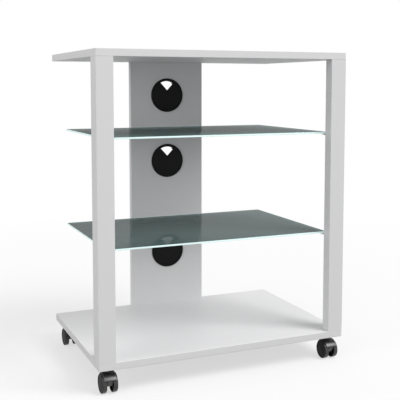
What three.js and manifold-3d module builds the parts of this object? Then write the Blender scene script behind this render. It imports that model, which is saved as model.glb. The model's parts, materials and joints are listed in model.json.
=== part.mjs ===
// An audio equipment rack: two boards on two front posts and a back column, with two glass
// shelves and four twin-wheel casters. Lengths are in millimetres. +X is to the right, +Y to
// the back and +Z up. The origin lies on the floor below the middle of the rack.
import * as THREE from 'three';
import { mergeVertices } from 'three/addons/utils/BufferGeometryUtils.js';
import Module from 'manifold-3d';

const wasm = await Module();
wasm.setup();

// Overall sizes
const rackWidth = 600;
const rackDepth = 400;
const casterHeight = 55;

// Boards and their edges
const boardThickness = 16;
const boardCornerRadius = 2;
const arris = 0.6;

// Front posts, with a rabbet down the inner back edge that hides the shelf supports
const postWidth = 38;
const postDepth = 38;
const rabbetWidth = 10;
const rabbetDepth = 13;
const postArris = 0.8;

// Back column
const columnWidth = 200;
const columnThickness = 16;

// Clear height of each bay, and the glass shelves between them
const lowerBayHeight = 232;
const middleBayHeight = 234;
const upperBayHeight = 169;
const glassThickness = 4;
const glassSideClearance = 0.5;
const glassColumnGap = 1;
const glassFrontGap = 6;
const glassCornerRadius = 3;
const glassArris = 0.5;

// Cable grommets: each hole lies this far below the board or glass above it
const upperGrommetDrop = 85.5;
const middleGrommetDrop = 85.5;
const lowerGrommetDrop = 89.5;
const grommetHoleRadius = 40;
const grommetFlangeRadius = 44;
const grommetFlangeThickness = 3;
const grommetFlangeRound = 1.2;
const grommetSleeveWall = 2.6;
const grommetSleeveLength = 11.5;
const grommetLedgeWidth = 1.8;
const grommetLedgeThickness = 0.8;
const grommetFit = 0.4;
const capThickness = 1.9;
const capFit = 0.4;
const capSkirtWall = 1.8;
const capSnapLength = 1.2;
const capSnapLip = 1.2;
const capNotchApexHeight = 13;
const capNotchHalfAngle = THREE.MathUtils.degToRad(43);

// Shelf supports: a pin in the wood, a collar and a lug under the glass with a clear pad
const supportPinRadius = 2.4;
const supportPinLength = 9.5;
const supportHoleFit = 0.3;
const supportHoleOverdepth = 1;
const supportCollarRadius = 4.2;
const supportCollarThickness = 1.2;
const supportLugWidth = 7;
const supportLugLength = 13;
const supportLugThickness = 2.6;
const supportRibDepth = 2.6;
const supportRibThickness = 1.8;
const padRadius = 2.7;
const padThickness = 1.4;
const padRecessDepth = 0.6;
const padRecessFit = 0.3;
const rearSupportInset = 20;
const frontSupportInset = 4;

// Glued dowels
const dowelRadius = 3.9;
const dowelReach = 9.5;
const dowelHoleFit = 0.3;
const dowelHoleOverdepth = 0.5;
const postDowelInset = 10;
const columnDowelInset = 18;

// Cam fittings that draw the top board down
const camRadius = 7.3;
const camLength = 12;
const camHoleFit = 0.2;
const camHoleOverdepth = 0.5;
const camDrop = 24;
const camBoltInset = 8;
const camColumnInset = 50;
const camPostInset = 13;
const camCrossWidth = 1.4;
const camCrossLength = 8;
const camCrossDepth = 1.6;
const boltHeadRadius = 3.3;
const boltHeadHalfHeight = 1.8;
const boltNeckRadius = 2.3;
const boltCollarRadius = 3.6;
const boltCollarLength = 8;
const boltThreadRadius = 2.5;
const boltThreadLength = 9.5;
const boltHoleFit = 0.3;
const camHollowFit = 0.5;
const camLipThickness = 1.6;

// Connector screws that come up through the bottom board
const screwHeadRadius = 4.8;
const screwHeadThickness = 3;
const screwShankRadius = 3.2;
const screwThreadRadius = 2.4;
const screwLength = 48;
const screwPointLength = 3;
const screwSocketRadius = 2.1;
const screwSocketDepth = 2.2;
const screwHoleFit = 0.3;
const postScrewInset = 22;

// Casters
const casterSideInset = 26;
const casterEdgeInset = 32;
const casterTrail = 9;
const plateSize = 38;
const plateThickness = 2;
const plateCornerRadius = 5;
const plateScrewInset = 4.5;
const plateScrewHeadRadius = 3.1;
const plateScrewHeadThickness = 1.5;
const plateScrewShankRadius = 1.5;
const plateScrewLength = 11;
const plateScrewHoleFit = 0.3;
const plateScrewHoleOverdepth = 1;
const kingpinRadius = 4;
const kingpinLength = 20;
const kingpinBead = 0.6;
const kingpinBeadLength = 2.4;
const kingpinFit = 0.35;
const kingpinWasherRadius = 9;
const kingpinWasherThickness = 1;
const wheelRadius = 21;
const wheelSpan = 34;
const wheelWidth = 9.8;
const wheelDome = 1.1;
const wheelRimStep = 0.8;
const wheelRimWidth = 4;
const wheelEdgeRound = 1.4;
const wheelTreadWall = 3.2;
const wheelDiscThickness = 2.4;
const wheelHubRadius = 6.4;
const wheelHubRecess = 0.5;
const wheelRibThickness = 1.6;
const wheelRibCount = 4;
const axleRadius = 2.9;
const axleFit = 0.3;
const axleEndGap = 0.6;
const axleEndChamfer = 0.6;
const axleEndWall = 1.8;
const hoodClearance = 1.1;
const hoodThickness = 1.9;
const hoodSideInset = 3;
const hoodFrontAngle = THREE.MathUtils.degToRad(27);
const hoodBackAngle = THREE.MathUtils.degToRad(-14);
const webWheelGap = 0.7;
const hubBossRadius = 8.4;
const axleHoleFit = 0.1;
const turretRadius = 12.5;
const turretGap = 0.3;
const turretShoulder = 2;

// Facets of round parts, and how far a cutter runs past what it cuts
const wheelFacets = 20;
const grommetFacets = 24;
const hoodFacets = 24;
const turretFacets = 16;
const camFacets = 12;
const kingpinFacets = 10;
const pinFacets = 8;
const pilotFacets = 6;
const socketSides = 6;
const overrun = 2;
const filletSegments = 2;

// Heights and planes worked out from the sizes above
const bottomBoardTop = casterHeight + boardThickness;
const lowerGlassUnderside = bottomBoardTop + lowerBayHeight;
const upperGlassUnderside = lowerGlassUnderside + glassThickness + middleBayHeight;
const topBoardUnderside = upperGlassUnderside + glassThickness + upperBayHeight;
const uprightLength = topBoardUnderside - bottomBoardTop;
const glassUndersides = { lower: lowerGlassUnderside, upper: upperGlassUnderside };
const leftSide = -rackWidth / 2;
const frontPlane = -rackDepth / 2;
const backPlane = rackDepth / 2;
const columnFront = backPlane - columnThickness;
const glassFront = frontPlane + postDepth - rabbetDepth + glassFrontGap;
const glassBack = columnFront - glassColumnGap;
const rabbetWall = postWidth - rabbetWidth;
const grommetHeights = {
  upper: topBoardUnderside - upperGrommetDrop,
  middle: upperGlassUnderside - middleGrommetDrop,
  lower: lowerGlassUnderside - lowerGrommetDrop,
};

// Solid shapes

// Turns a closed geometry into a solid, with its triangles facing outwards.
function solidOf(geometry) {
  const bare = geometry.clone();
  bare.deleteAttribute('normal');
  bare.deleteAttribute('uv');
  const merged = mergeVertices(bare);
  const place = merged.attributes.position;
  const index = merged.index.array;
  const triangles = [];
  let volume = 0;
  const corners = [new THREE.Vector3(), new THREE.Vector3(), new THREE.Vector3()];
  for (let i = 0; i < index.length; i += 3) {
    const [a, b, c] = [index[i], index[i + 1], index[i + 2]];
    if (a !== b && b !== c && c !== a) {
      triangles.push(a, b, c);
      corners[0].fromBufferAttribute(place, a);
      corners[1].fromBufferAttribute(place, b);
      corners[2].fromBufferAttribute(place, c);
      volume += corners[0].dot(corners[1].cross(corners[2]));
    }
  }
  if (volume < 0) {
    triangles.reverse();
  }
  return new wasm.Manifold(new wasm.Mesh({
    numProp: 3,
    vertProperties: new Float32Array(place.array),
    triVerts: new Uint32Array(triangles),
  }));
}

function geometryOf(solid) {
  const mesh = solid.getMesh();
  const geometry = new THREE.BufferGeometry();
  geometry.setAttribute('position', new THREE.BufferAttribute(mesh.vertProperties, 3));
  geometry.setIndex(new THREE.BufferAttribute(mesh.triVerts, 1));
  geometry.computeVertexNormals();
  return geometry;
}

function joined(...solids) {
  return solids.reduce((sum, solid) => sum.add(solid));
}

function cut(body, ...cutters) {
  return cutters.reduce((rest, cutter) => rest.subtract(cutter), body);
}

// A flat outline through the corners, each rounded off by the radius.
function roundedOutline(corners, radius) {
  const shape = new THREE.Shape();
  corners.forEach((corner, i) => {
    const before = corners[(i + corners.length - 1) % corners.length];
    const after = corners[(i + 1) % corners.length];
    const enter = corner.clone().sub(before).setLength(-radius).add(corner);
    const leave = after.clone().sub(corner).setLength(radius).add(corner);
    if (i === 0) {
      shape.moveTo(enter.x, enter.y);
    } else {
      shape.lineTo(enter.x, enter.y);
    }
    shape.quadraticCurveTo(corner.x, corner.y, leave.x, leave.y);
  });
  shape.closePath();
  return shape;
}

function rectangle(x0, y0, x1, y1) {
  return [
    new THREE.Vector2(x0, y0),
    new THREE.Vector2(x1, y0),
    new THREE.Vector2(x1, y1),
    new THREE.Vector2(x0, y1),
  ];
}

// A plate along +Z from zero to its height, with a bevel round both of its faces.
function plate(shape, height, bevel = 0) {
  const geometry = new THREE.ExtrudeGeometry(shape, {
    depth: height - 2 * bevel,
    steps: 1,
    curveSegments: filletSegments,
    bevelEnabled: bevel > 0,
    bevelThickness: bevel,
    bevelSize: bevel,
    bevelOffset: -bevel,
    bevelSegments: 1,
  });
  geometry.translate(0, 0, bevel);
  return geometry;
}

function block(x0, y0, z0, x1, y1, z1) {
  const geometry = new THREE.BoxGeometry(x1 - x0, y1 - y0, z1 - z0);
  geometry.translate((x0 + x1) / 2, (y0 + y1) / 2, (z0 + z1) / 2);
  return solidOf(geometry);
}

// A round bar between two values along the axis named; the other two give its centre line.
function bar(axis, radius, from, to, centre, facets) {
  const geometry = new THREE.CylinderGeometry(radius, radius, Math.abs(to - from), facets);
  const middle = (from + to) / 2;
  if (axis === 'x') {
    geometry.rotateZ(Math.PI / 2);
    geometry.translate(middle, centre[0], centre[1]);
  } else if (axis === 'y') {
    geometry.translate(centre[0], middle, centre[1]);
  } else {
    geometry.rotateX(Math.PI / 2);
    geometry.translate(centre[0], centre[1], middle);
  }
  return solidOf(geometry);
}

// A turned piece: its profile is a list of [radius, position along the axis].
function turned(profile, facets) {
  return new THREE.LatheGeometry(profile.map(([r, h]) => new THREE.Vector2(r, h)), facets);
}

// Materials, one function for each finish

const finish = {
  whiteBoard: () => new THREE.MeshStandardMaterial({ color: '#e6e6e8', roughness: 0.45, metalness: 0 }),
  glass: () => new THREE.MeshStandardMaterial({
    color: '#a9c4bf', roughness: 0.05, metalness: 0, transparent: true, opacity: 0.4,
  }),
  blackPlastic: () => new THREE.MeshStandardMaterial({ color: '#141416', roughness: 0.35, metalness: 0 }),
  nickel: () => new THREE.MeshStandardMaterial({ color: '#b9bcc0', roughness: 0.3, metalness: 1 }),
  zincSteel: () => new THREE.MeshStandardMaterial({ color: '#a4a7ab', roughness: 0.4, metalness: 1 }),
  clearPad: () => new THREE.MeshStandardMaterial({
    color: '#e8ecec', roughness: 0.4, metalness: 0, transparent: true, opacity: 0.6,
  }),
};

const rack = new THREE.Group();

function addPiece(name, geometry, material, parent = rack) {
  const mesh = new THREE.Mesh(geometry, material());
  mesh.name = name;
  parent.add(mesh);
  return mesh;
}

// Places that two or more pieces share

// The four casters: where the swivel axis stands.
const casters = [
  { name: 'front_left', x: leftSide + casterSideInset, y: frontPlane + casterEdgeInset },
  { name: 'front_right', x: -leftSide - casterSideInset, y: frontPlane + casterEdgeInset },
  { name: 'rear_left', x: leftSide + casterSideInset, y: backPlane - casterEdgeInset },
  { name: 'rear_right', x: -leftSide - casterSideInset, y: backPlane - casterEdgeInset },
];

// The two posts: side is -1 on the left and 1 on the right.
const posts = [
  { name: 'left', side: -1 },
  { name: 'right', side: 1 },
];

// A place in a post, from its outer front corner.
function inPost(side, inward, back) {
  return [side * (rackWidth / 2 - inward), frontPlane + back];
}

const postDowels = posts.map(({ side }) => inPost(side, postDowelInset, postDowelInset));
const postScrews = posts.map(({ side }) => inPost(side, postScrewInset, postScrewInset));
const postCams = posts.map(({ side }) => inPost(side, camPostInset, postDepth - camBoltInset));
const columnMiddle = backPlane - columnThickness / 2;
const columnDowelX = columnWidth / 2 - columnDowelInset;
const columnDowels = [-1, 1].map((side) => [side * columnDowelX, columnMiddle]);
const columnCamX = columnWidth / 2 - camColumnInset;
const columnCams = [-1, 1].map((side) => [side * columnCamX, backPlane - camBoltInset]);
const columnScrew = [0, columnMiddle];

const plateScrews = [-1, 1].flatMap((sx) => [-1, 1].map((sy) => {
  const reach = plateSize / 2 - plateScrewInset;
  return [sx * reach, sy * reach];
}));

// The supports: where each pin leaves the wood, and the turn that points its lug inwards.
const rearSupportX = columnWidth / 2 - rearSupportInset;
const frontSupportX = rackWidth / 2 - rabbetWall;
const frontSupportY = frontPlane + postDepth - frontSupportInset;
const supports = [
  { name: 'front_left', x: -frontSupportX, y: frontSupportY, turn: Math.PI / 2 },
  { name: 'front_right', x: frontSupportX, y: frontSupportY, turn: -Math.PI / 2 },
  { name: 'rear_left', x: -rearSupportX, y: columnFront, turn: 0 },
  { name: 'rear_right', x: rearSupportX, y: columnFront, turn: 0 },
];
const supportPinDrop = padThickness - padRecessDepth + supportLugThickness / 2;

// Boards

function boardBlank() {
  const corners = rectangle(leftSide, frontPlane, -leftSide, backPlane);
  return solidOf(plate(roundedOutline(corners, boardCornerRadius), boardThickness, arris));
}

function dowelHole([x, y], from, to) {
  return bar('z', dowelRadius + dowelHoleFit, from, to, [x, y], pinFacets);
}

function makeTopBoard() {
  const dowelDepth = dowelReach + dowelHoleOverdepth;
  const boltDepth = boltThreadLength + dowelHoleOverdepth;
  const dowelHoles = [...postDowels, ...columnDowels].map((at) => dowelHole(at, -overrun, dowelDepth));
  const boltHoles = [...postCams, ...columnCams].map((at) => (
    bar('z', boltThreadRadius + boltHoleFit, -overrun, boltDepth, at, pinFacets)));
  return geometryOf(cut(boardBlank(), ...dowelHoles, ...boltHoles));
}

// The screw holes are drilled right through, wide at the underside for the head.
function connectorHoles(at) {
  return [
    bar('z', screwShankRadius + screwHoleFit, -overrun, boardThickness + overrun, at, pinFacets),
    bar('z', screwHeadRadius + screwHoleFit, -overrun, screwHeadThickness, at, pinFacets),
  ];
}

function makeBottomBoard() {
  const dowelTop = boardThickness + overrun;
  const dowelFloor = boardThickness - dowelReach - dowelHoleOverdepth;
  const dowelHoles = [...postDowels, ...columnDowels].map((at) => dowelHole(at, dowelFloor, dowelTop));
  const screwHoles = [...postScrews, columnScrew].flatMap(connectorHoles);
  const pilotRadius = plateScrewShankRadius + plateScrewHoleFit;
  const pilotDepth = plateScrewLength + plateScrewHoleOverdepth;
  const pilotHoles = casters.flatMap(({ x, y }) => plateScrews.map(([dx, dy]) => (
    bar('z', pilotRadius, -overrun, pilotDepth, [x + dx, y + dy], pilotFacets))));
  return geometryOf(cut(boardBlank(), ...dowelHoles, ...screwHoles, ...pilotHoles));
}

addPiece('top_board', makeTopBoard(), finish.whiteBoard).position.z = topBoardUnderside;
addPiece('bottom_board', makeBottomBoard(), finish.whiteBoard).position.z = casterHeight;

// Uprights: what the posts and the column have in common, with zero at their foot

function dowelPegs(places) {
  return places.flatMap((at) => [
    bar('z', dowelRadius, -dowelReach, overrun, at, pinFacets),
    bar('z', dowelRadius, uprightLength - overrun, uprightLength + dowelReach, at, pinFacets),
  ]);
}

function screwBore(at) {
  const depth = screwLength - boardThickness + supportHoleOverdepth;
  return bar('z', screwThreadRadius + screwHoleFit, -overrun, depth, at, pinFacets);
}

// A cam sits in a round pocket cut from the back; its bolt comes down a bore from the top.
function camBores([x, y], back) {
  const camHeight = uprightLength - camDrop;
  const pocketFloor = back - camLength - camHoleOverdepth;
  return [
    bar('y', camRadius + camHoleFit, pocketFloor, back + overrun, [x, camHeight], camFacets),
    bar('z', boltCollarRadius + boltHoleFit, camHeight, uprightLength + overrun, [x, y], pinFacets),
  ];
}

function supportHeight(underside) {
  return underside - bottomBoardTop - supportPinDrop;
}

function makePost(side, dowel, screw, cam) {
  const outer = side * rackWidth / 2;
  const inner = side * (rackWidth / 2 - postWidth);
  const wall = side * (rackWidth / 2 - rabbetWall);
  const back = frontPlane + postDepth;
  const rabbetFront = back - rabbetDepth;
  const outline = [
    new THREE.Vector2(outer, frontPlane),
    new THREE.Vector2(outer, back),
    new THREE.Vector2(wall, back),
    new THREE.Vector2(wall, rabbetFront),
    new THREE.Vector2(inner, rabbetFront),
    new THREE.Vector2(inner, frontPlane),
  ];
  const blank = solidOf(plate(roundedOutline(outline, postArris), uprightLength));
  const pinRoom = supportPinLength + supportHoleOverdepth;
  const pinY = back - frontSupportInset;
  const pinHoles = Object.values(glassUndersides).map((underside) => bar(
    'x', supportPinRadius + supportHoleFit, wall - side * overrun, wall + side * pinRoom,
    [pinY, supportHeight(underside)], pinFacets));
  const body = joined(blank, ...dowelPegs([dowel]));
  return geometryOf(cut(body, screwBore(screw), ...camBores(cam, back), ...pinHoles));
}

posts.forEach(({ name, side }, i) => {
  const geometry = makePost(side, postDowels[i], postScrews[i], postCams[i]);
  addPiece(`${name}_front_post`, geometry, finish.whiteBoard).position.z = bottomBoardTop;
});

function makeColumn() {
  const corners = rectangle(-columnWidth / 2, columnFront, columnWidth / 2, backPlane);
  const blank = solidOf(plate(roundedOutline(corners, postArris), uprightLength));
  const grommetHoles = Object.values(grommetHeights).map((height) => bar(
    'y', grommetHoleRadius, columnFront - overrun, backPlane + overrun,
    [0, height - bottomBoardTop], grommetFacets));
  const pinHoles = Object.values(glassUndersides).flatMap((underside) => [-1, 1].map((side) => bar(
    'y', supportPinRadius + supportHoleFit, columnFront - overrun,
    columnFront + supportPinLength + supportHoleOverdepth,
    [side * rearSupportX, supportHeight(underside)], pinFacets)));
  const body = joined(blank, ...dowelPegs(columnDowels));
  const camHoles = columnCams.flatMap((at) => camBores(at, backPlane));
  return geometryOf(cut(body, screwBore(columnScrew), ...camHoles, ...grommetHoles, ...pinHoles));
}

addPiece('back_column', makeColumn(), finish.whiteBoard).position.z = bottomBoardTop;

// Cable grommets, turned about the Y axis, with zero at the column's front face

const sleeveRadius = grommetHoleRadius - grommetFit;
const sleeveBore = sleeveRadius - grommetSleeveWall;
const recessRadius = sleeveBore + grommetLedgeWidth;
const capRadius = recessRadius - capFit;
const capBack = -grommetLedgeThickness;
const capFront = capBack - capThickness;
const skirtRadius = sleeveBore - capFit;
const skirtEnd = grommetSleeveLength + capFit + capSnapLength;

function makeGrommetRing() {
  return geometryOf(solidOf(turned([
    [grommetFlangeRadius, 0],
    [grommetFlangeRadius, grommetFlangeRound - grommetFlangeThickness],
    [grommetFlangeRadius - grommetFlangeRound, -grommetFlangeThickness],
    [recessRadius, -grommetFlangeThickness],
    [recessRadius, capBack],
    [sleeveBore, capBack],
    [sleeveBore, grommetSleeveLength],
    [sleeveRadius, grommetSleeveLength],
    [sleeveRadius, 0],
    [grommetFlangeRadius, 0],
  ], grommetFacets)));
}

// The notch is a wedge that opens upwards from its apex, through the disc and the skirt.
function makeGrommetCap() {
  const blank = solidOf(turned([
    [0, capFront],
    [capRadius, capFront],
    [capRadius, capBack],
    [skirtRadius, capBack],
    [skirtRadius, grommetSleeveLength + capFit],
    [skirtRadius + capSnapLip, grommetSleeveLength + capFit],
    [skirtRadius, skirtEnd],
    [skirtRadius - capSkirtWall, skirtEnd],
    [skirtRadius - capSkirtWall, capBack],
    [0, capBack],
  ], grommetFacets));
  const rise = grommetHoleRadius;
  const spread = rise * Math.tan(capNotchHalfAngle);
  const wedge = new THREE.Shape([
    new THREE.Vector2(0, capNotchApexHeight),
    new THREE.Vector2(spread, capNotchApexHeight + rise),
    new THREE.Vector2(-spread, capNotchApexHeight + rise),
  ]);
  const cutter = plate(wedge, skirtEnd - capFront + 2 * overrun);
  cutter.rotateX(Math.PI / 2);
  cutter.translate(0, skirtEnd + overrun, 0);
  return geometryOf(cut(blank, solidOf(cutter)));
}

for (const [level, height] of Object.entries(grommetHeights)) {
  const grommet = new THREE.Group();
  grommet.position.set(0, columnFront, height);
  addPiece(`${level}_grommet_ring`, makeGrommetRing(), finish.blackPlastic, grommet);
  addPiece(`${level}_grommet_cap`, makeGrommetCap(), finish.blackPlastic, grommet);
  rack.add(grommet);
}

// Glass shelves

const glassHalfWidth = rackWidth / 2 - rabbetWall - glassSideClearance;

for (const [level, underside] of Object.entries(glassUndersides)) {
  const corners = rectangle(-glassHalfWidth, glassFront, glassHalfWidth, glassBack);
  const shelf = plate(roundedOutline(corners, glassCornerRadius), glassThickness, glassArris);
  addPiece(`${level}_glass_shelf`, geometryOf(solidOf(shelf)), finish.glass).position.z = underside;
}

// Shelf supports: the pin runs along +Y from zero and the lug along -Y, its top at zero

const padPlace = -(supportLugLength + supportCollarThickness) / 2;

function makeSupport() {
  const pinZ = -supportLugThickness / 2;
  const pin = bar('y', supportPinRadius, -overrun, supportPinLength, [0, pinZ], pinFacets);
  const collar = bar('y', supportCollarRadius, -supportCollarThickness, 0, [0, pinZ], pinFacets);
  const half = supportLugWidth / 2;
  const outline = new THREE.Shape();
  outline.moveTo(half, 0);
  outline.lineTo(half, half - supportLugLength);
  outline.absarc(0, half - supportLugLength, half, 0, -Math.PI, true);
  outline.lineTo(-half, 0);
  outline.closePath();
  const lug = plate(outline, supportLugThickness);
  lug.translate(0, 0, -supportLugThickness);
  const rib = new THREE.Shape([
    new THREE.Vector2(0, -supportLugThickness / 2),
    new THREE.Vector2(half - supportLugLength, -supportLugThickness / 2),
    new THREE.Vector2(-supportCollarThickness, -supportLugThickness - supportRibDepth),
    new THREE.Vector2(0, -supportLugThickness - supportRibDepth),
  ]);
  const gusset = plate(rib, supportRibThickness);
  gusset.translate(0, 0, -supportRibThickness / 2);
  gusset.rotateY(Math.PI / 2);
  gusset.rotateX(Math.PI / 2);
  const clearAbove = block(-supportCollarRadius, -supportCollarThickness - overrun, 0,
    supportCollarRadius, overrun, supportCollarRadius);
  const recess = bar('z', padRadius + padRecessFit, -padRecessDepth, overrun, [0, padPlace], pinFacets);
  const whole = joined(pin, collar, solidOf(lug), solidOf(gusset));
  return geometryOf(cut(whole, clearAbove, recess));
}

function makePad() {
  const top = padThickness - padRecessDepth;
  return geometryOf(bar('z', padRadius, -padRecessDepth, top, [0, padPlace], pinFacets));
}

for (const [level, underside] of Object.entries(glassUndersides)) {
  for (const { name, x, y, turn } of supports) {
    const support = new THREE.Group();
    support.position.set(x, y, underside - (padThickness - padRecessDepth));
    support.rotation.z = turn;
    addPiece(`${level}_${name}_shelf_support`, makeSupport(), finish.nickel, support);
    addPiece(`${level}_${name}_glass_pad`, makePad(), finish.clearPad, support);
    rack.add(support);
  }
}

// Cam fittings. The cam turns about Y, with zero on its axis at the bolt.

function makeCam() {
  const face = camBoltInset;
  const blank = bar('y', camRadius, face - camLength, face, [0, 0], camFacets);
  const room = boltHeadRadius + camHollowFit;
  const neck = boltNeckRadius + camHollowFit;
  const hollowTop = camRadius - camLipThickness;
  const hollow = block(-room, -room, -boltHeadHalfHeight - camHollowFit, room, room, hollowTop);
  const slot = block(-neck, -neck, 0, neck, neck, camRadius + overrun);
  const crossHalf = camCrossLength / 2;
  const thin = camCrossWidth / 2;
  const floor = face - camCrossDepth;
  const across = block(-crossHalf, floor, -thin, crossHalf, face + overrun, thin);
  const upright = block(-thin, floor, -crossHalf, thin, face + overrun, crossHalf);
  return geometryOf(cut(blank, hollow, slot, across, upright));
}

// The bolt stands along Z, with zero where the upright meets the board.
function makeCamBolt() {
  const headTop = boltHeadHalfHeight - camDrop;
  const geometry = turned([
    [0, -boltHeadHalfHeight - camDrop],
    [boltHeadRadius, -boltHeadHalfHeight - camDrop],
    [boltHeadRadius, headTop],
    [boltNeckRadius, headTop],
    [boltNeckRadius, -boltCollarLength],
    [boltCollarRadius, -boltCollarLength],
    [boltCollarRadius, 0],
    [boltThreadRadius, 0],
    [boltThreadRadius, boltThreadLength],
    [0, boltThreadLength],
  ], pinFacets);
  geometry.rotateX(Math.PI / 2);
  return geometryOf(solidOf(geometry));
}

const camPlaces = [
  { name: 'left_post', at: postCams[0] },
  { name: 'right_post', at: postCams[1] },
  { name: 'column_left', at: columnCams[0] },
  { name: 'column_right', at: columnCams[1] },
];

for (const { name, at: [x, y] } of camPlaces) {
  const cam = addPiece(`${name}_cam`, makeCam(), finish.zincSteel);
  cam.position.set(x, y, topBoardUnderside - camDrop);
  const bolt = addPiece(`${name}_cam_bolt`, makeCamBolt(), finish.zincSteel);
  bolt.position.set(x, y, topBoardUnderside);
}

// Connector screws, standing along Z from the board's underside

function makeConnectorScrew() {
  const geometry = turned([
    [0, 0],
    [screwHeadRadius, 0],
    [screwHeadRadius, screwHeadThickness],
    [screwShankRadius, screwHeadThickness],
    [screwShankRadius, boardThickness - screwHoleFit],
    [screwThreadRadius, boardThickness - screwHoleFit],
    [screwThreadRadius, screwLength - screwPointLength],
    [0, screwLength],
  ], pinFacets);
  geometry.rotateX(Math.PI / 2);
  const socket = bar('z', screwSocketRadius, -overrun, screwSocketDepth, [0, 0], socketSides);
  return geometryOf(cut(solidOf(geometry), socket));
}

const screwPlaces = [
  { name: 'left_post', at: postScrews[0] },
  { name: 'right_post', at: postScrews[1] },
  { name: 'column', at: columnScrew },
];

for (const { name, at: [x, y] } of screwPlaces) {
  const screw = addPiece(`${name}_screw`, makeConnectorScrew(), finish.zincSteel);
  screw.position.set(x, y, casterHeight);
}

// Casters. Zero is on the swivel axis at floor level; the axle trails towards the front.

const axleY = -casterTrail;
const plateUnderside = casterHeight - plateThickness;
const wheelOuter = wheelSpan / 2;
const wheelInner = wheelOuter - wheelWidth;
const hoodInnerRadius = wheelRadius + hoodClearance;
const hoodOuterRadius = hoodInnerRadius + hoodThickness;
const hoodHalfWidth = wheelOuter - hoodSideInset;
const webHalfWidth = wheelInner - webWheelGap;
const turretTop = plateUnderside - kingpinWasherThickness - turretGap;
const kingpinFoot = plateUnderside - kingpinLength;
const axleEnd = wheelOuter - axleEndWall - axleEndGap;

// The plate carries its riveted kingpin and the four screws that hold it to the board.
function makeCasterPlate() {
  const half = plateSize / 2;
  const flat = plate(roundedOutline(rectangle(-half, -half, half, half), plateCornerRadius), plateThickness);
  flat.translate(0, 0, plateUnderside);
  const kingpin = turned([
    [0, kingpinFoot],
    [kingpinRadius, kingpinFoot],
    [kingpinRadius + kingpinBead, kingpinFoot + kingpinBeadLength / 2],
    [kingpinRadius, kingpinFoot + kingpinBeadLength],
    [kingpinRadius, plateUnderside - kingpinWasherThickness],
    [kingpinWasherRadius, plateUnderside - kingpinWasherThickness],
    [kingpinWasherRadius, casterHeight],
    [0, casterHeight],
  ], kingpinFacets);
  kingpin.rotateX(Math.PI / 2);
  const screws = plateScrews.flatMap((at) => [
    bar('z', plateScrewHeadRadius, plateUnderside - plateScrewHeadThickness, casterHeight, at, pinFacets),
    bar('z', plateScrewShankRadius, plateUnderside, casterHeight + plateScrewLength, at, pilotFacets),
  ]);
  return geometryOf(joined(solidOf(flat), solidOf(kingpin), ...screws));
}

// The housing is a hood over the treads, a web between the wheels and a turret on the kingpin.
function makeCasterHousing() {
  const drum = bar('x', hoodOuterRadius, -hoodHalfWidth, hoodHalfWidth, [axleY, wheelRadius], hoodFacets);
  const far = 2 * hoodOuterRadius;
  const below = new THREE.Shape([
    new THREE.Vector2(axleY, wheelRadius),
    new THREE.Vector2(axleY - far * Math.cos(hoodFrontAngle), wheelRadius + far * Math.sin(hoodFrontAngle)),
    new THREE.Vector2(axleY - far, wheelRadius - far),
    new THREE.Vector2(axleY + far, wheelRadius - far),
    new THREE.Vector2(axleY + far * Math.cos(hoodBackAngle), wheelRadius + far * Math.sin(hoodBackAngle)),
  ]);
  const openSide = plate(below, 2 * hoodHalfWidth + 2 * overrun);
  openSide.translate(0, 0, -hoodHalfWidth - overrun);
  openSide.rotateY(Math.PI / 2);
  openSide.rotateX(Math.PI / 2);
  const turret = turned([
    [0, wheelRadius],
    [turretRadius, wheelRadius],
    [turretRadius, turretTop - turretShoulder],
    [turretRadius - turretShoulder, turretTop],
    [0, turretTop],
  ], turretFacets);
  turret.rotateX(Math.PI / 2);
  const wheelRooms = [-1, 1].map((side) => bar(
    'x', hoodInnerRadius, side * webHalfWidth, side * (wheelOuter + overrun),
    [axleY, wheelRadius], hoodFacets));
  const axis = [axleY, wheelRadius];
  const boss = bar('x', hubBossRadius, -webHalfWidth, webHalfWidth, axis, turretFacets);
  const axleBore = bar('x', axleRadius + axleHoleFit, -wheelOuter, wheelOuter, axis, pinFacets);
  const bore = kingpinRadius + kingpinFit;
  const boreFloor = kingpinFoot - kingpinFit;
  const kingpinBore = turned([
    [0, boreFloor],
    [bore, boreFloor],
    [bore + kingpinBead, kingpinFoot + kingpinBeadLength / 2],
    [bore, kingpinFoot + kingpinBeadLength + kingpinFit],
    [bore, turretTop + overrun],
    [0, turretTop + overrun],
  ], kingpinFacets);
  kingpinBore.rotateX(Math.PI / 2);
  const upper = cut(joined(drum, solidOf(turret)), solidOf(openSide), ...wheelRooms);
  return geometryOf(cut(joined(upper, boss), axleBore, solidOf(kingpinBore)));
}

function makeAxle() {
  const geometry = turned([
    [0, -axleEnd],
    [axleRadius - axleEndChamfer, -axleEnd],
    [axleRadius, axleEndChamfer - axleEnd],
    [axleRadius, axleEnd - axleEndChamfer],
    [axleRadius - axleEndChamfer, axleEnd],
    [0, axleEnd],
  ], pinFacets);
  geometry.rotateZ(Math.PI / 2);
  return geometryOf(solidOf(geometry));
}

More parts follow.
